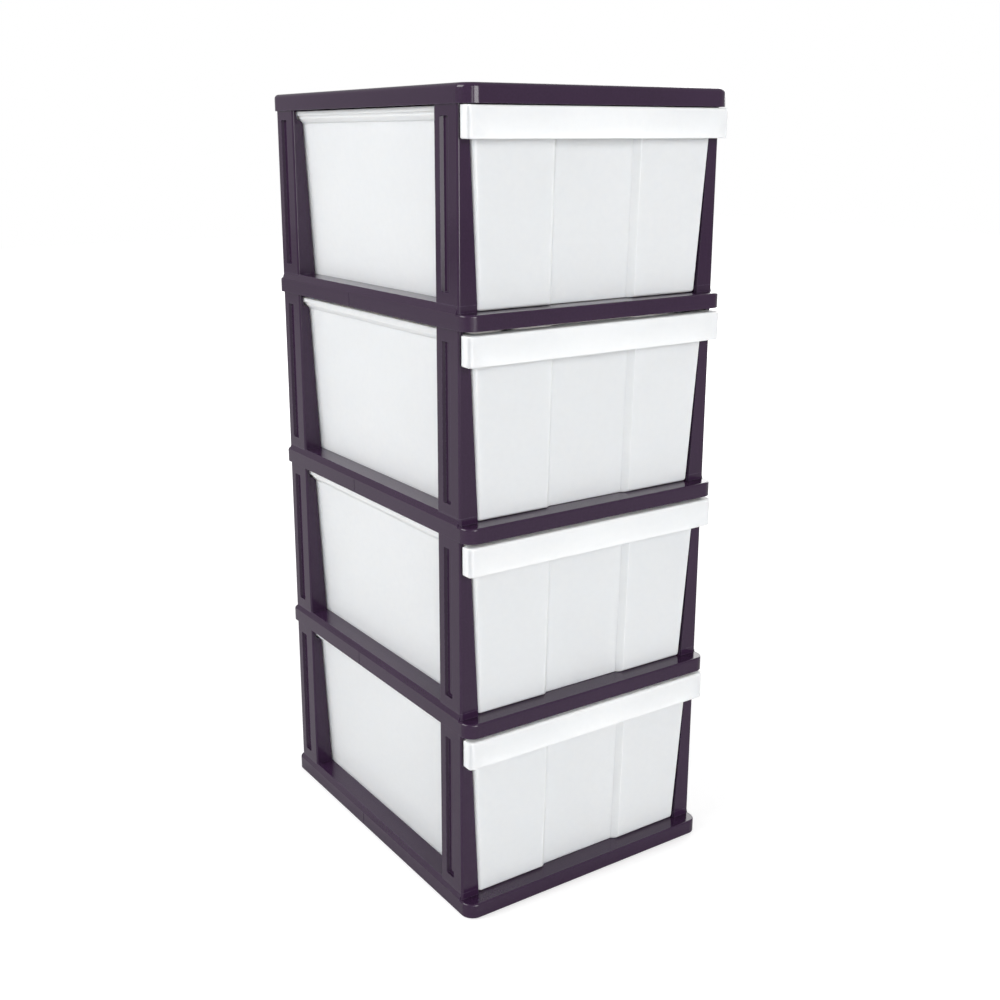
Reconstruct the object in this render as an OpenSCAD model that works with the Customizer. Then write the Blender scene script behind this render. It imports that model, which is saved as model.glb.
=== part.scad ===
// Drawer tower: four plastic drawers in a knock-down frame of shelf frames, corner posts and a top.
// Origin: centre of the footprint on the floor. +X right, +Y back, +Z up. Millimetres.
// Inside the modules a corner is measured as u (in from the outer side face),
// v (back from the outer front face) and h (up from the underside of a shelf frame).

/* [Overall] */
// Outside width of the shelf frames and the top
unit_w = 300; // [270:1:340]
// Outside depth of the shelf frames and the top
unit_d = 380; // [340:1:420]
// Height from one shelf frame to the next
tier_pitch = 191.5; // [175:0.5:220]
// Corner radius of the shelf frames, seen from above
corner_r = 13; // [11:0.5:16]
// Wall thickness of the frame mouldings
shell_t = 2.6; // [2.2:0.1:3]
// Clearance around a spigot in its socket
fit_gap = 0.15; // [0.1:0.05:0.25]

/* [Shelf frames] */
// Height of the front and back rails
rail_h = 14.5; // [13:0.5:17]
// Width of the front and back rails
rail_w = 31; // [26:1:38]
// Radius of the upper edge of those rails
rail_edge_r = 2; // [1:0.1:2.6]
// Height of the side rails, which guide the drawer
side_h = 21; // [19:0.5:24]
// How far the upper part of a side rail leans in
side_lean = 2.3; // [1:0.1:4]
// Width of the ledge that a drawer slides on
ledge_w = 11; // [8:0.5:16]
// Width of the bar across the middle of a shelf frame
bar_w = 22; // [14:1:40]
// Distance from the front to the moulding line on a side rail
mark_v = 213; // [150:1:260]
// Width of that moulding line
mark_w = 0.9; // [0.5:0.1:1.5]
// Depth of that moulding line
mark_depth = 0.5; // [0.3:0.1:0.8]
// Thickness of the stiffening ribs underneath
rib_t = 1.8; // [1.4:0.1:2.4]
// Number of ribs under the front rail and under the back rail
rail_ribs = 5; // [2:1:7]
// Number of ribs under each side rail
side_ribs = 6; // [2:1:8]

/* [Posts] */
// Depth of a post, front to back
post_d = 38; // [34:0.5:44]
// Distance from the side of the tower to a post's outer face
post_u = 1.8; // [1:0.1:2.2]
// Distance from the front of the tower to the front posts
front_post_v = 15; // [13:0.5:18]
// Distance from the back of the tower to the back posts
back_inset = 12; // [9:0.5:16]
// Width of a post at its foot
post_foot_w = 19.4; // [18:0.1:22]
// Width of a post at its shoulder
post_head_w = 11.4; // [10.4:0.1:13]
// Thickness of the post's outer wall above the shoulder
post_neck_t = 4.4; // [4.2:0.1:5]
// Wall thickness of a post
post_t = 2.4; // [2:0.1:2.8]
// Radius of the post's two outer corners
post_r = 2.2; // [1:0.1:3]
// Width of the lips that turn in along the drawer side of a post
post_lip = 11.5; // [8:0.5:14]
// Width of the long recess in the outer face
slot_w = 13.5; // [10:0.5:16]
// Depth of that recess
slot_depth = 3; // [1.6:0.1:3.2]
// How far the recess's back wall leans towards the back of the post
slot_lean = 1.6; // [0.6:0.1:2.4]
// Distance from the front of a post to the recess
slot_v = 14.5; // [8:0.5:16]
// Distance from the foot of a post to the recess
slot_foot = 10; // [6:0.5:20]
// Distance from the head of a post to the recess
slot_head = 12; // [11:0.5:24]
// Radius of the recess's corners
slot_r = 2; // [1:0.5:4]
// Depth that a spigot reaches into its socket
spigot_l = 7; // [5:0.5:8]
// Room left in a socket beyond the end of its spigot
socket_room = 0.8; // [0.3:0.1:1]
// Width of the foot spigot, side to side
spigot_w = 8; // [6:0.5:9]
// Length of the foot spigot and of the head tongue, front to back
spigot_d = 24; // [18:0.5:26]

/* [Top] */
// Height of the top's surface above the heads of the upper posts
top_rise = 14; // [13:0.5:18]
// How far the top's skirt laps down over the upper posts
skirt_lap = 2.7; // [1.5:0.1:4]
// Corner radius of the top, seen from above
top_corner_r = 16; // [15:0.5:20]
// Radius of the top's upper edge
top_edge_r = 4.2; // [1.5:0.1:5]
// Depth of the tray moulded in the top's surface
tray_depth = 2; // [1:0.1:3]
// Width of the rim around that tray
tray_rim = 8; // [6:0.5:14]
// Depth of the stiffening ribs under the top
top_rib_h = 5; // [3:0.5:6]

/* [Drawers] */
// Wall thickness of a drawer
drawer_t = 2.2; // [1.8:0.1:2.6]
// Gap between a drawer's side and the posts
side_gap = 1.2; // [1:0.1:2]
// Gap between a drawer's side and the raised part of a side rail
guide_gap = 0.8; // [0.5:0.1:1]
// Gap between a drawer's floor and the ledge below it
slide_gap = 0.4; // [0.4:0.1:1]
// Gap between a drawer's rim and the skirt of the top
head_gap = 1; // [0.5:0.1:2]
// Gap between the foot of a drawer's rim and the shoulders of the posts
shoulder_gap = 0.8; // [0.5:0.1:2]
// Distance from the front of the tower to the drawer's front wall, at its foot
front_foot_v = 16.5; // [15:0.5:22]
// Distance from the front of the tower to the drawer's front wall, at its rim
front_head_v = 11; // [9:0.5:14]
// Distance from the back of the tower to the drawer's back wall, at its rim
back_head_v = 20; // [18:0.5:40]
// How much further in the back wall stands at its foot
back_lean = 8; // [2:0.5:14]
// Radius of the drawer's upright corners
tub_r = 4; // [4:0.5:8]
// Radius of the bend between the drawer's walls and its floor
tub_foot_r = 3; // [2.8:0.1:3.5]
// Thickness of the rim's flange
rim_t = 2.1; // [1.8:0.1:2.6]
// Height of the rim's outer edge
lip_h = 4.2; // [3:0.1:5]
// How far the rim's lower step stands in from that edge
step_in = 2.6; // [1.5:0.1:3.5]
// Height of the rim below its flange, down to the wall
flare_h = 9.4; // [8.4:0.2:11]
// Gap between the rim's flange and the neck of a post
rim_gap = 0.9; // [0.6:0.1:1.6]

/* [Drawer pull] */
// Height of the pull that hangs across the drawer's front
pull_h = 27.5; // [20:0.5:32]
// Distance from the side of the tower to the end of the pull
pull_u = 2; // [1:0.1:4]
// Distance from the front of the tower to the face of the pull
pull_v = 0.2; // [0.2:0.1:2]
// Depth of the pull, front to back
pull_d = 10.8; // [10:0.1:12]
// Radius of the pull's two front corners, seen from above
pull_r = 6; // [4:0.5:8]
// Radius of the pull's lower corners, seen from the front
pull_low_r = 2; // [1:0.5:6]
// Width of the finger recess in the drawer's front wall
grip_w = 100; // [60:1:140]
// Depth of that recess
grip_depth = 5; // [3:0.5:8]
// Length over which each end of the recess slopes out
grip_slope = 6; // [3:0.5:12]

/* [Feet] */
// Height of the feet under the lowest shelf frame
foot_h = 1.5; // [1:0.5:4]
// Radius of a foot
foot_r = 7; // [5:0.5:9]
// Radius of the stem that holds a foot in its bore
foot_stem_r = 3; // [2.5:0.1:4]
// Length of that stem
foot_stem_l = 7; // [4:0.5:8]
// Distance from the two outer faces to the centre of a foot
foot_uv = 15; // [13:0.5:17]

/* [Hidden] */

FRAME_COLOR = [0.22, 0.18, 0.23];
DRAWER_COLOR = [0.93, 0.95, 0.95];
FOOT_COLOR = [0.10, 0.10, 0.11];
TIERS = 4;
// Overlap that joins shapes of one solid, and margin by which a cut runs past a face
eps = 0.01;
past = 1;
$fn = 64;

// Posts: the inner face leans out towards the head, and a shoulder makes room for the drawer's rim.
drawer_h0 = rail_h + slide_gap;
drawer_top = tier_pitch - skirt_lap - head_gap;
rim_under = drawer_top - rim_t;
flare_under = rim_under - flare_h;
lip_under = drawer_top - lip_h;
shoulder_h = flare_under - shoulder_gap;
shoulder_w = post_head_w - post_neck_t;
shoulder_rise = shoulder_w * 0.9;
// Bend of the shoulder's S-shaped outline, as shares of its width and its height
bend_w = 0.12;
bend_h = 0.3;
post_slope = (post_foot_w - post_head_w) / (shoulder_h - side_h);
function post_face(h) = post_foot_w - (h - side_h) * post_slope;
back_post_v = unit_d - back_inset - post_d;
spigot_v = (post_d - spigot_d) / 2;
spigot_u = (post_foot_w - spigot_w) / 2 + post_t / 2;
// Inner face of a shelf frame's outer wall, measured from a post's outer face
wall_u = shell_t - post_u;

// Drawers: the side walls follow the posts, the front and back walls have their own slopes.
function tub_u(h) = post_u + post_face(h) + side_gap;
tub_height = drawer_top - drawer_h0;
front_slope = (front_foot_v - front_head_v) / tub_height;
function front_v(h) = front_head_v + (drawer_top - h) * front_slope;
function back_v(h) = back_head_v + (drawer_top - h) * back_lean / tub_height;
rim_u = post_u + post_neck_t + rim_gap;
pull_back_v = pull_v + pull_d;

// Shelf frames: the raised part of a side rail ends beside the drawer, and the ledge lies inside it.
side_w = tub_u(drawer_h0) - guide_gap;
open_u = side_w + ledge_w;
deck_under = rail_h - shell_t;
boss_d = post_d + 2 * shell_t;
socket_l = spigot_l + socket_room;

// ---------- helpers ----------

// Extrudes a (u, h) outline along +Y
module along_y(len) {
    translate([0, len, 0]) rotate([90, 0, 0]) linear_extrude(height = len) children();
}

// Extrudes a (v, h) outline along +X
module along_x(len) {
    rotate([90, 0, 90]) linear_extrude(height = len) children();
}

// Rectangle with round corners, from (0, 0)
module round_rect(w, d, r) {
    translate([r, 0]) square([w - 2 * r, d]);
    translate([0, r]) square([w, d - 2 * r]);
    for (x = [r, w - r]) for (y = [r, d - r]) translate([x, y]) circle(r = r);
}

// Footprint with the given corner radius, drawn in by the given amount
module footprint(inset, corner) {
    translate([inset - unit_w / 2, inset - unit_d / 2])
        round_rect(unit_w - 2 * inset, unit_d - 2 * inset, corner - inset);
}

// Rectangle over the first axis whose upper outer corner, on the positive side, is round
module soft_profile(w, h, r) {
    square([w, h - r]);
    square([w - r, h]);
    translate([w - r, h - r]) circle(r = r);
}

// Block on that footprint with a round upper edge
module soft_block(h, r, corner) {
    x = unit_w / 2 - corner;
    y = unit_d / 2 - corner;
    for (s = [0, 1]) {
        mirror([0, s, 0]) translate([-x, 0, 0]) along_x(2 * x) soft_profile(unit_d / 2, h, r);
        mirror([s, 0, 0]) translate([0, -y, 0]) along_y(2 * y) soft_profile(unit_w / 2, h, r);
        for (t = [0, 1]) mirror([s, 0, 0]) mirror([0, t, 0]) translate([x, y, 0])
            rotate_extrude() soft_profile(corner, h, r);
    }
}

// Puts its children, drawn in a front left corner, on the left and on the right
module both_sides() {
    for (s = [0, 1]) mirror([s, 0, 0]) translate([-unit_w / 2, -unit_d / 2, 0]) children();
}

// Puts its children at the front and the back post of both sides
module at_posts() {
    both_sides() for (v = [front_post_v, back_post_v]) translate([post_u, v, 0]) children();
}

// ---------- posts ----------

// Plan of a post, from its outer front corner: round at the two outer corners
module post_plan(w) {
    translate([post_r, 0]) square([w - post_r, post_d]);
    translate([0, post_r]) square([w, post_d - 2 * post_r]);
    for (v = [post_r, post_d - post_r]) translate([post_r, v]) circle(r = post_r);
}

module post_block() {
    intersection() {
        translate([0, 0, side_h]) linear_extrude(height = tier_pitch - side_h) post_plan(post_foot_w);
        along_y(post_d) polygon([
            [0, side_h], [post_foot_w, side_h], [post_head_w, shoulder_h],
            [post_head_w - bend_w * shoulder_w, shoulder_h + bend_h * shoulder_rise],
            [post_neck_t + bend_w * shoulder_w, shoulder_h + (1 - bend_h) * shoulder_rise],
            [post_neck_t, shoulder_h + shoulder_rise], [post_neck_t, tier_pitch], [0, tier_pitch]]);
    }
}

// Room inside a post: a channel that is open towards the drawer between two lips
module post_cavity() {
    foot = side_h + post_t;
    head = shoulder_h - post_t;
    translate([0, post_t, 0]) along_y(post_d - 2 * post_t) polygon([
        [post_t, foot], [post_face(foot) - post_t, foot],
        [post_face(head) - post_t, head], [post_t, head]]);
    translate([post_t, post_lip, foot]) cube([post_foot_w, post_d - 2 * post_lip, head - foot]);
}

slot_h0 = side_h + slot_foot;
slot_h1 = tier_pitch - slot_head;

module slot_outline(margin) {
    translate([slot_v - margin, slot_h0 - margin])
        round_rect(slot_w + 2 * margin, slot_h1 - slot_h0 + 2 * margin, slot_r + margin);
}

// The long recess: square towards the front, with a leaning wall at the back that catches the light
module slot_space() {
    intersection() {
        translate([-past, 0, 0]) along_x(past + slot_depth) slot_outline(0);
        translate([0, 0, slot_h0]) linear_extrude(height = slot_h1 - slot_h0) polygon([
            [-past, slot_v], [slot_depth, slot_v], [slot_depth, slot_v + slot_w - slot_lean],
            [0, slot_v + slot_w], [-past, slot_v + slot_w]]);
    }
}

module post_body(lapped) {
    difference() {
        union() {
            difference() {
                post_block();
                post_cavity();
            }
            // backing of the long recess
            intersection() {
                along_x(slot_depth + post_t) slot_outline(post_t);
                post_block();
            }
            // foot spigot
            translate([spigot_u, spigot_v, side_h - spigot_l])
                cube([spigot_w, spigot_d, spigot_l + post_t]);
            // head tongue
            translate([wall_u + fit_gap, spigot_v, tier_pitch - post_t])
                cube([post_neck_t - wall_u - fit_gap, spigot_d, spigot_l + post_t]);
        }
        slot_space();
        // rebate under the skirt of the top
        if (lapped) translate([-past, -past, tier_pitch - skirt_lap])
            cube([past + wall_u + fit_gap, post_d + 2 * past, skirt_lap + past]);
    }
}

module post(tier, side, v) {
    color(FRAME_COLOR) mirror([side, 0, 0])
        translate([post_u - unit_w / 2, v - unit_d / 2, foot_h + (tier - 1) * tier_pitch])
            post_body(tier == TIERS);
}

// ---------- shelf frames ----------

// The two windows of a shelf frame, drawn in by the given amount
module frame_windows(margin) {
    window_d = (unit_d - bar_w) / 2 - rail_w;
    for (y = [rail_w - unit_d / 2, bar_w / 2])
        translate([open_u - unit_w / 2 - margin, y - margin])
            square([unit_w - 2 * open_u + 2 * margin, window_d + 2 * margin]);
}

module raised_side(inset, v0, len) {
    translate([0, v0, 0]) along_y(len) polygon([
        [inset, rail_h - shell_t], [inset, rail_h], [inset + side_lean, side_h - inset],
        [side_w - inset, side_h - inset], [side_w - inset, rail_h - shell_t]]);
}

module frame_shell() {
    difference() {
        union() {
            soft_block(rail_h, rail_edge_r, corner_r);
            both_sides() raised_side(0, front_post_v + post_r,
                unit_d - front_post_v - back_inset - 2 * post_r);
            at_posts() linear_extrude(height = side_h) post_plan(post_foot_w);
        }
        translate([0, 0, -past]) linear_extrude(height = rail_h + 2 * past) frame_windows(0);
        translate([0, 0, -past]) linear_extrude(height = deck_under + past) difference() {
            footprint(shell_t, corner_r);
            frame_windows(shell_t);
        }
        both_sides() raised_side(shell_t, front_post_v + post_d + shell_t,
            back_post_v - front_post_v - post_d - 2 * shell_t);
    }
}

// Blocks that carry the sockets of the posts
module frame_bosses() {
    at_posts() translate([wall_u - eps, -shell_t, 0])
        cube([side_w - shell_t, boss_d, deck_under + eps]);
}

module frame_ribs() {
    rail_len = unit_w - 2 * open_u;
    for (i = [1 : rail_ribs]) for (y = [shell_t - eps, unit_d - rail_w + eps])
        translate([open_u - unit_w / 2 + rail_len * i / (rail_ribs + 1) - rib_t / 2, y - unit_d / 2, 0])
            cube([rib_t, rail_w - shell_t, deck_under + eps]);
    side_v0 = front_post_v + post_d + shell_t;
    side_len = back_post_v - shell_t - side_v0;
    both_sides() for (i = [1 : side_ribs])
        translate([shell_t - eps, side_v0 + side_len * i / (side_ribs + 1) - rib_t / 2, 0])
            cube([open_u - 2 * shell_t + 2 * eps, rib_t, deck_under + eps]);
}

module frame_sockets() {
    at_posts() {
        translate([spigot_u - fit_gap, spigot_v - fit_gap, side_h - socket_l])
            cube([spigot_w + 2 * fit_gap, spigot_d + 2 * fit_gap, socket_l + past]);
        tongue_socket();
    }
}

// Slot in an underside for the tongue on the head of a post
module tongue_socket() {
    translate([wall_u, spigot_v - fit_gap, -past])
        cube([post_neck_t - wall_u + fit_gap, spigot_d + 2 * fit_gap, socket_l + past]);
}

// Moulding line across the outer face of each side rail
module frame_marks() {
    both_sides() translate([-past, mark_v - mark_w / 2, -past])
        cube([past + mark_depth, mark_w, rail_h + past]);
}

module foot_places() {
    for (s = [0, 1]) for (t = [0, 1]) mirror([s, 0, 0]) mirror([0, t, 0])
        translate([foot_uv - unit_w / 2, foot_uv - unit_d / 2, 0]) children();
}

module shelf_frame(tier) {
    color(FRAME_COLOR) translate([0, 0, foot_h + (tier - 1) * tier_pitch]) difference() {
        union() {
            frame_shell();
            frame_bosses();
            frame_ribs();
            if (tier == 1) foot_places()
                cylinder(r = foot_stem_r + shell_t, h = deck_under + eps);
        }
        frame_sockets();
        frame_marks();
        if (tier == 1) foot_places() translate([0, 0, -past])
            cylinder(r = foot_stem_r + fit_gap, h = foot_stem_l + fit_gap + past);
    }
}

// ---------- top ----------

module top_shell() {
    difference() {
        translate([0, 0, -skirt_lap]) soft_block(skirt_lap + top_rise, top_edge_r, top_corner_r);
        translate([0, 0, top_rise - tray_depth]) linear_extrude(height = tray_depth + past)
            footprint(tray_rim, top_corner_r);
        translate([0, 0, -skirt_lap - past])
            linear_extrude(height = skirt_lap + past + top_rise - tray_depth - shell_t)
                footprint(shell_t, top_corner_r);
    }
}

module top_ribs() {
    roof = top_rise - tray_depth - shell_t;
    for (i = [-1, 0, 1]) translate([i * unit_w / 4 - rib_t / 2, shell_t - unit_d / 2 - eps, roof - top_rib_h])
        cube([rib_t, unit_d - 2 * shell_t + 2 * eps, top_rib_h + eps]);
    for (i = [-1 : 1]) translate([shell_t - unit_w / 2 - eps, i * unit_d / 4 - rib_t / 2, roof - top_rib_h])
        cube([unit_w - 2 * shell_t + 2 * eps, rib_t, top_rib_h + eps]);
}

module top() {
    roof = top_rise - tray_depth - shell_t;
    color(FRAME_COLOR) translate([0, 0, foot_h + TIERS * tier_pitch]) difference() {
        union() {
            top_shell();
            top_ribs();
            at_posts() translate([wall_u - eps, 0, 0])
                cube([post_neck_t - wall_u + shell_t, post_d, roof + eps]);
        }
        at_posts() tongue_socket();
    }
}

// ---------- drawers ----------

// One level of a tub's outline as a thin slice, drawn in by the given amount
module tub_slice(h, inset, at) {
    u = tub_u(h) + inset;
    v0 = front_v(h) + inset;
    v1 = unit_d - back_v(h) - inset;
    r = tub_r - inset;
    translate([0, 0, at]) for (x = [u + r, unit_w - u - r]) for (y = [v0 + r, v1 - r])
        translate([x - unit_w / 2, y - unit_d / 2, 0]) cylinder(r = r, h = eps);
}

// Solid tub, drawn in on all sides; its foot bends into the walls with an arc
module tub(inset, h0, h1) {
    bend = tub_foot_r - inset;
    hull() {
        for (a = [0 : 30 : 90])
            tub_slice(h0 + bend * (1 - cos(a)), inset + bend * (1 - sin(a)), h0 + bend * (1 - cos(a)));
        tub_slice(h1, inset, h1 - eps);
    }
}

// Space in front of the recessed part of the front wall, with sloping ends
module grip_space(margin, h0, h1) {
    half = grip_w / 2 + margin;
    depth = grip_depth + margin;
    hull() for (h = [h0, h1 - eps]) translate([0, front_v(h) - unit_d / 2, h])
        linear_extrude(height = eps) polygon([
            [-half - past * grip_slope / depth, -past], [half + past * grip_slope / depth, -past],
            [half - grip_slope, depth], [grip_slope - half, depth]]);
}

// Outline of the rim below its flange, from a wall's outer face at the origin out to the rim's edge
module rim_outline(reach) {
    step = reach - step_in;
    polygon([
        [-drawer_t / 2, flare_under], [0, flare_under], [step, (flare_under + rim_under) / 2],
        [step, lip_under], [reach, lip_under], [reach, rim_under + eps], [-drawer_t / 2, rim_under + eps]]);
}

// Flange round the rim, with its stepped edge
module rim() {
    d0 = front_head_v - unit_d / 2;
    d1 = unit_d / 2 - back_head_v;
    reach = tub_u(drawer_top) - rim_u;
    translate([0, 0, rim_under]) linear_extrude(height = rim_t)
        translate([rim_u - unit_w / 2, pull_back_v - unit_d / 2])
            round_rect(unit_w - 2 * rim_u, d1 + reach - pull_back_v + unit_d / 2, tub_r);
    both_sides() translate([rim_u + reach, front_head_v + tub_r, 0]) mirror([1, 0, 0])
        along_y(d1 - d0 - 2 * tub_r) rim_outline(reach);
    translate([tub_u(drawer_top) + tub_r - unit_w / 2, d1, 0])
        along_x(unit_w - 2 * tub_u(drawer_top) - 2 * tub_r) rim_outline(reach);
}

// Outer form of the pull: round at the front corners, the lower corners and the upper edge
module pull_block() {
    pull_w = unit_w - 2 * pull_u;
    depth = pull_back_v - pull_v;
    intersection() {
        translate([pull_u - unit_w / 2, pull_v - unit_d / 2, drawer_top - pull_h])
            linear_extrude(height = pull_h) union() {
                translate([0, pull_r]) square([pull_w, depth - pull_r]);
                translate([pull_r, 0]) square([pull_w - 2 * pull_r, depth]);
                for (x = [pull_r, pull_w - pull_r]) translate([x, pull_r]) circle(r = pull_r);
            }
        translate([pull_u - unit_w / 2, pull_v - unit_d / 2, drawer_top - pull_h]) along_y(depth) union() {
            translate([0, pull_low_r]) square([pull_w, pull_h - pull_low_r]);
            translate([pull_low_r, 0]) square([pull_w - 2 * pull_low_r, pull_h]);
            for (x = [pull_low_r, pull_w - pull_low_r]) translate([x, pull_low_r]) circle(r = pull_low_r);
        }
        translate([-unit_w / 2, pull_v - unit_d / 2, drawer_top - pull_h]) along_x(unit_w) union() {
            square([depth, pull_h - rim_t]);
            translate([rim_t, 0]) square([depth - rim_t, pull_h]);
            translate([rim_t, pull_h - rim_t]) circle(r = rim_t);
        }
    }
}

module pull() {
    inner_u = pull_u + drawer_t;
    inner_v = pull_v + drawer_t;
    difference() {
        pull_block();
        translate([inner_u - unit_w / 2, inner_v - unit_d / 2, drawer_top - pull_h - past])
            cube([unit_w - 2 * inner_u, pull_d, pull_h + past - rim_t]);
    }
    // the flange carries on from the pull to the front wall
    translate([rim_u - unit_w / 2, inner_v - unit_d / 2, rim_under])
        cube([unit_w - 2 * rim_u, front_head_v + tub_r - inner_v, rim_t]);
}

module drawer(tier) {
    color(DRAWER_COLOR) translate([0, 0, foot_h + (tier - 1) * tier_pitch]) difference() {
        union() {
            difference() {
                tub(0, drawer_h0, drawer_top);
                grip_space(0, drawer_h0 - past, rim_under);
            }
            rim();
            pull();
        }
        difference() {
            tub(drawer_t, drawer_h0 + drawer_t, drawer_top + past);
            grip_space(drawer_t, drawer_h0, drawer_top + 2 * past);
        }
    }
}

// ---------- feet ----------

module foot(side, back) {
    color(FOOT_COLOR) mirror([side, 0, 0]) mirror([0, back, 0])
        translate([foot_uv - unit_w / 2, foot_uv - unit_d / 2, 0]) {
            cylinder(r = foot_r, h = foot_h);
            cylinder(r = foot_stem_r, h = foot_h + foot_stem_l);
        }
}

// ---------- the assembly ----------

for (i = [1 : TIERS]) {
    shelf_frame(i);
    post(i, 0, front_post_v);
    post(i, 1, front_post_v);
    post(i, 0, back_post_v);
    post(i, 1, back_post_v);
    drawer(i);
}
top();
foot(0, 0);  // foot_front_left
foot(1, 0);  // foot_front_right
foot(0, 1);  // foot_back_left
foot(1, 1);  // foot_back_right
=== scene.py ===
"""Looks of the drawer tower: materials, rounded edges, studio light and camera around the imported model.

Lengths are in metres, angles in degrees, lamp powers in watts and colours in linear RGB.
"""
import math
import bpy
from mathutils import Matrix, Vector

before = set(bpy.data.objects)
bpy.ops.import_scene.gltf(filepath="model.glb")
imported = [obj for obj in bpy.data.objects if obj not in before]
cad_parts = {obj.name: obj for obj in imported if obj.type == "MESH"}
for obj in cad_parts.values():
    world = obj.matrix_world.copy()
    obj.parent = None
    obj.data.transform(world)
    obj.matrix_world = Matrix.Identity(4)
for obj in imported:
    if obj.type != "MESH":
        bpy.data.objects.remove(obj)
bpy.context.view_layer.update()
scene = bpy.context.scene

# Colours of the frame's plastic, the drawers' plastic, the feet and the floor.
AUBERGINE_DEEP = (0.0215, 0.0085, 0.0260)
AUBERGINE_PALE = (0.0265, 0.0108, 0.0320)
AUBERGINE_FLECK = (0.0310, 0.0132, 0.0375)
AUBERGINE_RUBBED = (0.085, 0.065, 0.105)
WHITE_COOL = (0.845, 0.860, 0.860)
WHITE_WARM = (0.885, 0.885, 0.875)
WHITE_FLECK = (0.815, 0.825, 0.835)
RUBBER_CLEAN = (0.012, 0.012, 0.013)
RUBBER_DUSTY = (0.030, 0.029, 0.028)
PAPER_DARK = (0.48, 0.48, 0.48)
PAPER_LIGHT = (0.52, 0.52, 0.52)

# Most of a noise texture's values lie in the middle of its range.
MIDDLE = (0.3, 0.7)
FULL = (0.0, 1.0)

# How deep the moulded relief is.
GRAIN_DEPTH = 0.00005
FLOW_DEPTH = 0.0004
PORE_DEPTH = 0.0002

# How far from an edge the frame's plastic is rubbed, and the cosine of the
# turn of the surface at which the wear begins and at which it is full.
WEAR_REACH = 0.0012
WEAR_TURN = (0.99, 0.90)

# Points closer than this are one point, and faces that turn less than this are one face.
WELD_DISTANCE = 0.00002
FLAT_ANGLE = 1.0

# Radius of the rounded edges, and the turn above which an edge is rounded.
POST_ROUNDING = 0.0011
ROUNDING = 0.0007
DRAWER_EDGE_ANGLE = 35
FRAME_EDGE_ANGLE = 18

# The floor reaches this far from the tower. The camera sees it glow, more so
# further out, so that it meets the white background and keeps the shadow.
FLOOR_REACH = 8
GLOW_FROM_TO = (0.6, 2.0)
GLOW_STRENGTH = (0.55, 0.85)
ROOM_STRENGTH = 0.5

# Name, place, point aimed at, width and height, power.
LAMPS = (
    ("key", (-0.16, -5.46, 1.57), (0, -0.1, 0.45), (2.4, 3.68), 225),
    ("strip", (-2.32, -4.9, 1.57), (0, -0.1, 0.45), (0.72, 3.68), 31),
    ("side", (-4.0, 0.96, 2.68), (0, 0, 0.6), (3.52, 2.88), 205),
    ("fill", (4.16, 1.92, 2.26), (0, 0, 0.5), (3.52, 2.88), 115),
)

CAMERA_PLACE = (-0.7248, -1.0752, 0.7372)
CAMERA_TURN = (75.13, 0.14, -33.45)
SENSOR_MM = 36
LENS_MM = 44.81
CAMERA_SHIFT = (0.0244, -0.0317)


# ---------- node graphs ----------

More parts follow.
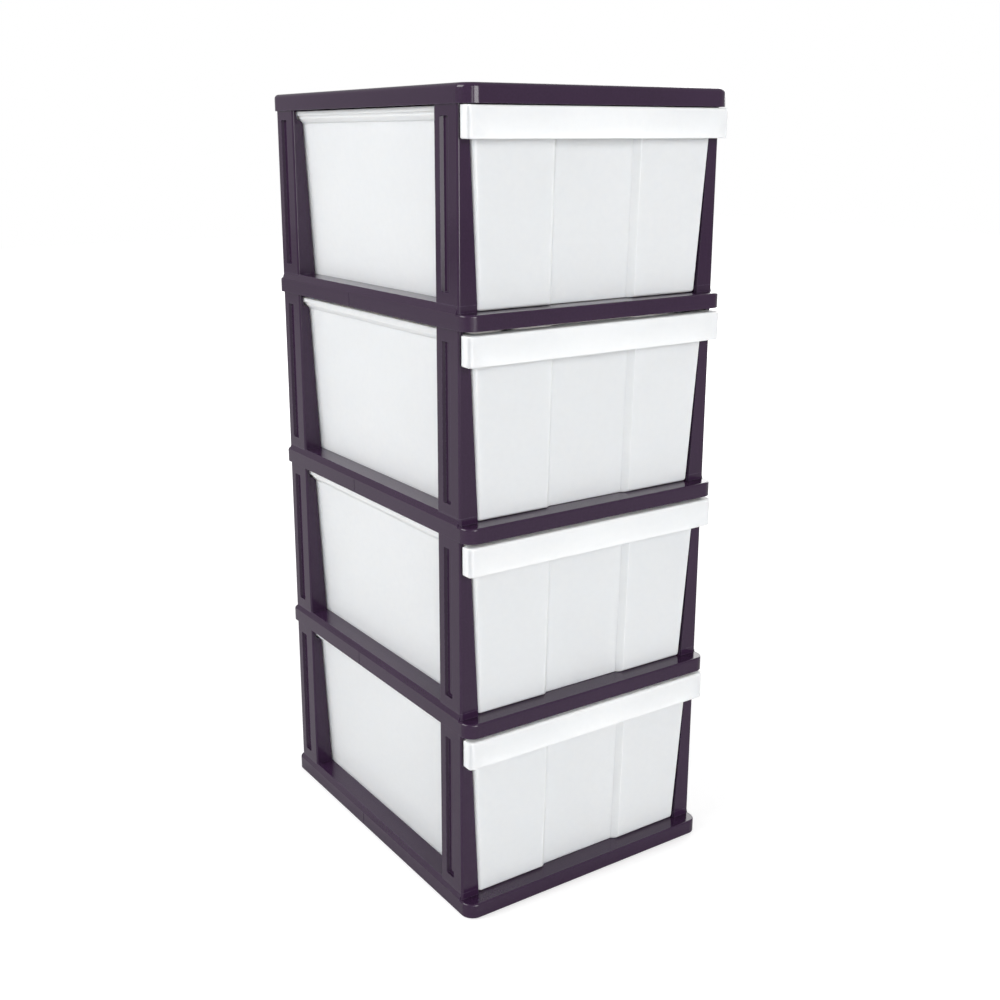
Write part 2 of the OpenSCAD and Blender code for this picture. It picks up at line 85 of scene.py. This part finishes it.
class Graph:
    """Adds shader nodes to one material and links them."""

    def __init__(self, name):
        self.mat = bpy.data.materials.new(name)
        self.mat.use_nodes = True
        self.tree = self.mat.node_tree
        self.bsdf = self.tree.nodes["Principled BSDF"]
        coord = self.add("ShaderNodeTexCoord")
        self.place = coord.outputs["Object"]

    def add(self, kind, **settings):
        """A new node with its settings."""
        node = self.tree.nodes.new(kind)
        for key, value in settings.items():
            setattr(node, key, value)
        return node

    def link(self, source, target):
        """Links an output to an input."""
        self.tree.links.new(source, target)

    def stretched(self, scale):
        """Object coordinates, scaled by axis."""
        node = self.add("ShaderNodeMapping")
        self.link(self.place, node.inputs["Vector"])
        node.inputs["Scale"].default_value = scale
        return node.outputs["Vector"]

    def noise(self, scale, detail, rough, vector=None):
        """Noise with so many swells to the metre."""
        node = self.add("ShaderNodeTexNoise")
        self.link(vector or self.place, node.inputs["Vector"])
        node.inputs["Scale"].default_value = scale
        node.inputs["Detail"].default_value = detail
        node.inputs["Roughness"].default_value = rough
        return node.outputs["Fac"]

    def spread(self, value, span, result):
        """Maps a range of a value onto another range."""
        node = self.add("ShaderNodeMapRange")
        self.link(value, node.inputs["Value"])
        ends = ("From Min", "From Max", "To Min", "To Max")
        for end, number in zip(ends, (*span, *result)):
            node.inputs[end].default_value = number
        return node.outputs["Result"]

    def math(self, operation, a, b):
        """The result of one operation on numbers or outputs."""
        node = self.add("ShaderNodeMath", operation=operation)
        for socket, value in zip(node.inputs, (a, b)):
            if isinstance(value, (int, float)):
                socket.default_value = value
            else:
                self.link(value, socket)
        return node.outputs["Value"]

    def blend(self, factor, color_a, color_b):
        """Blends two colours, each a tuple or an output, by a factor."""
        node = self.add("ShaderNodeMix", data_type="RGBA")
        self.link(factor, node.inputs[0])
        for socket, color in zip(node.inputs[6:8], (color_a, color_b)):
            if isinstance(color, tuple):
                socket.default_value = (*color, 1)
            else:
                self.link(color, socket)
        return node.outputs[2]

    def bump(self, height, strength, distance, below=None):
        """A normal with relief on it, on top of the relief below."""
        node = self.add("ShaderNodeBump")
        self.link(height, node.inputs["Height"])
        node.inputs["Strength"].default_value = strength
        node.inputs["Distance"].default_value = distance
        if below:
            self.link(below, node.inputs["Normal"])
        return node.outputs["Normal"]

    def edges(self, radius):
        """One on edges, zero on flat faces, from how far the surface turns within a radius."""
        rounded = self.add("ShaderNodeBevel", samples=4)
        rounded.inputs["Radius"].default_value = radius
        geometry = self.add("ShaderNodeNewGeometry")
        turn = self.add("ShaderNodeVectorMath", operation="DOT_PRODUCT")
        self.link(rounded.outputs["Normal"], turn.inputs[0])
        self.link(geometry.outputs["True Normal"], turn.inputs[1])
        return self.spread(turn.outputs["Value"], WEAR_TURN, FULL)

    def surface(self, tone, rough, normal):
        """Gives the surface its colour, roughness and relief."""
        self.link(tone, self.bsdf.inputs["Base Color"])
        self.link(rough, self.bsdf.inputs["Roughness"])
        self.link(normal, self.bsdf.inputs["Normal"])


# ---------- materials ----------

def frame_plastic():
    """Moulded semi-gloss plastic: dark aubergine, spark grain, flow marks, rubbed edges and scuffs."""
    g = Graph("frame_plastic")
    cloud = g.noise(7.0, 4.0, 0.6)
    mottle = g.noise(520.0, 3.0, 0.6)
    grain = g.noise(1500.0, 2.0, 0.5)
    flow = g.noise(1.0, 3.0, 0.5, g.stretched((9.0, 9.0, 70.0)))
    scuff = g.noise(1.0, 6.0, 0.7, g.stretched((60.0, 60.0, 900.0)))

    tone = g.blend(g.spread(cloud, MIDDLE, FULL), AUBERGINE_DEEP, AUBERGINE_PALE)
    tone = g.blend(g.spread(mottle, (0.35, 0.65), (0.0, 0.45)), tone, AUBERGINE_FLECK)
    patchy = g.spread(mottle, (0.4, 0.62), (0.25, 1.0))
    worn = g.math("MULTIPLY", g.edges(WEAR_REACH), patchy)
    tone = g.blend(g.math("MULTIPLY", worn, 0.6), tone, AUBERGINE_RUBBED)

    rough = g.spread(cloud, MIDDLE, (0.12, 0.16))
    rough = g.math("ADD", rough, g.spread(mottle, MIDDLE, (-0.02, 0.02)))
    rough = g.math("ADD", rough, g.spread(scuff, (0.62, 0.78), (0.0, 0.10)))

    normal = g.bump(g.spread(flow, MIDDLE, FULL), 0.12, FLOW_DEPTH)
    normal = g.bump(mottle, 0.10, GRAIN_DEPTH, normal)
    normal = g.bump(grain, 0.16, GRAIN_DEPTH, normal)

    g.surface(tone, rough, normal)
    g.bsdf.inputs["Specular IOR Level"].default_value = 0.40
    g.bsdf.inputs["IOR"].default_value = 1.5
    return g.mat


def drawer_plastic():
    """Satin white plastic that lets a little light through, with faint flow marks and flecks."""
    g = Graph("drawer_plastic")
    cloud = g.noise(5.0, 3.0, 0.5)
    mottle = g.noise(160.0, 3.0, 0.5)
    grain = g.noise(1300.0, 2.0, 0.5)
    flow = g.noise(1.0, 2.0, 0.5, g.stretched((14.0, 6.0, 14.0)))

    tone = g.blend(g.spread(cloud, MIDDLE, FULL), WHITE_COOL, WHITE_WARM)
    tone = g.blend(g.spread(mottle, (0.35, 0.7), (0.0, 0.25)), tone, WHITE_FLECK)

    rough = g.spread(cloud, MIDDLE, (0.36, 0.44))
    rough = g.math("ADD", rough, g.spread(mottle, MIDDLE, (-0.03, 0.05)))

    normal = g.bump(g.spread(flow, MIDDLE, FULL), 0.10, FLOW_DEPTH)
    normal = g.bump(grain, 0.14, GRAIN_DEPTH, normal)

    g.surface(tone, rough, normal)
    g.bsdf.inputs["Subsurface Weight"].default_value = 1.0
    g.bsdf.inputs["Subsurface Radius"].default_value = (1.0, 0.95, 0.9)
    g.bsdf.inputs["Subsurface Scale"].default_value = 0.010
    return g.mat


def foot_rubber():
    """Matt black rubber, dusty in places and finely pored."""
    g = Graph("foot_rubber")
    pores = g.noise(700.0, 3.0, 0.6)
    dust = g.noise(60.0, 4.0, 0.6)
    tone = g.blend(g.spread(dust, (0.4, 0.7), FULL), RUBBER_CLEAN, RUBBER_DUSTY)
    rough = g.spread(dust, MIDDLE, (0.62, 0.82))
    g.surface(tone, rough, g.bump(pores, 0.35, PORE_DEPTH))
    return g.mat


FRAME_MAT = frame_plastic()
DRAWER_MAT = drawer_plastic()
FOOT_MAT = foot_rubber()


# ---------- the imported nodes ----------

def soften(obj, radius, angle):
    """Joins the faces that lie in one plane, rounds the sharp edges and shades the flats flat."""
    weld = obj.modifiers.new("weld", "WELD")
    weld.merge_threshold = WELD_DISTANCE
    planar = obj.modifiers.new("planar", "DECIMATE")
    planar.decimate_type = "DISSOLVE"
    planar.angle_limit = math.radians(FLAT_ANGLE)
    bevel = obj.modifiers.new("edge", "BEVEL")
    bevel.width = radius
    bevel.segments = 2
    bevel.limit_method = "ANGLE"
    bevel.angle_limit = math.radians(angle)
    shade = obj.modifiers.new("shade", "WEIGHTED_NORMAL")
    shade.keep_sharp = True
    for polygon in obj.data.polygons:
        polygon.use_smooth = True


for name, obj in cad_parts.items():
    kind = name.split("_")[0]
    obj.data.materials.clear()
    obj.data.materials.append({"drawer": DRAWER_MAT, "foot": FOOT_MAT}.get(kind, FRAME_MAT))
    soften(obj,
           POST_ROUNDING if kind == "post" else ROUNDING,
           DRAWER_EDGE_ANGLE if kind == "drawer" else FRAME_EDGE_ANGLE)


# ---------- floor, light and camera ----------

def pale_floor():
    """A plain paper floor that the camera sees lifted towards white, with the tower's shadow on it."""
    far = FLOOR_REACH
    mesh = bpy.data.meshes.new("floor")
    corners = [(-far, -far, 0), (far, -far, 0), (far, far, 0), (-far, far, 0)]
    mesh.from_pydata(corners, [], [(0, 1, 2, 3)])
    floor = bpy.data.objects.new("floor", mesh)
    scene.collection.objects.link(floor)

    g = Graph("floor_paper")
    fibres = g.noise(90.0, 5.0, 0.6)
    g.link(g.blend(fibres, PAPER_DARK, PAPER_LIGHT), g.bsdf.inputs["Base Color"])
    g.bsdf.inputs["Roughness"].default_value = 0.95

    distance = g.add("ShaderNodeVectorMath", operation="LENGTH")
    g.link(g.place, distance.inputs[0])
    glow = g.add("ShaderNodeEmission")
    strength = g.spread(distance.outputs["Value"], GLOW_FROM_TO, GLOW_STRENGTH)
    g.link(strength, glow.inputs["Strength"])
    lifted = g.add("ShaderNodeAddShader")
    g.link(g.bsdf.outputs[0], lifted.inputs[0])
    g.link(glow.outputs[0], lifted.inputs[1])
    seen = g.add("ShaderNodeMixShader")
    g.link(g.add("ShaderNodeLightPath").outputs["Is Camera Ray"], seen.inputs["Fac"])
    g.link(g.bsdf.outputs[0], seen.inputs[1])
    g.link(lifted.outputs[0], seen.inputs[2])
    g.link(seen.outputs[0], g.tree.nodes["Material Output"].inputs["Surface"])

    mesh.materials.append(g.mat)


def white_room():
    """A white background for the camera, and an even soft light on the object."""
    world = bpy.data.worlds.new("studio")
    scene.world = world
    world.use_nodes = True
    tree = world.node_tree
    soft = tree.nodes["Background"]
    soft.inputs["Color"].default_value = (1, 1, 1, 1)
    soft.inputs["Strength"].default_value = ROOM_STRENGTH
    seen = tree.nodes.new("ShaderNodeBackground")
    seen.inputs["Color"].default_value = (1, 1, 1, 1)
    seen.inputs["Strength"].default_value = 1.0
    path = tree.nodes.new("ShaderNodeLightPath")
    mix = tree.nodes.new("ShaderNodeMixShader")
    tree.links.new(path.outputs["Is Camera Ray"], mix.inputs["Fac"])
    tree.links.new(soft.outputs[0], mix.inputs[1])
    tree.links.new(seen.outputs[0], mix.inputs[2])
    tree.links.new(mix.outputs[0], tree.nodes["World Output"].inputs["Surface"])


def softbox(name, place, target, size, watts):
    """A rectangular area lamp aimed at a point."""
    lamp = bpy.data.lights.new(name, "AREA")
    lamp.shape = "RECTANGLE"
    lamp.size, lamp.size_y = size
    lamp.energy = watts
    obj = bpy.data.objects.new(name, lamp)
    scene.collection.objects.link(obj)
    obj.location = place
    aim = Vector(target) - Vector(place)
    obj.rotation_euler = aim.to_track_quat("-Z", "Y").to_euler()


def camera():
    """The photograph's view of the tower."""
    data = bpy.data.cameras.new("camera")
    data.sensor_width = SENSOR_MM
    data.lens = LENS_MM
    data.shift_x, data.shift_y = CAMERA_SHIFT
    obj = bpy.data.objects.new("camera", data)
    scene.collection.objects.link(obj)
    obj.location = CAMERA_PLACE
    obj.rotation_euler = [math.radians(turn) for turn in CAMERA_TURN]
    scene.camera = obj


pale_floor()
white_room()
for lamp_row in LAMPS:
    softbox(*lamp_row)
camera()

scene.view_settings.view_transform = "Standard"
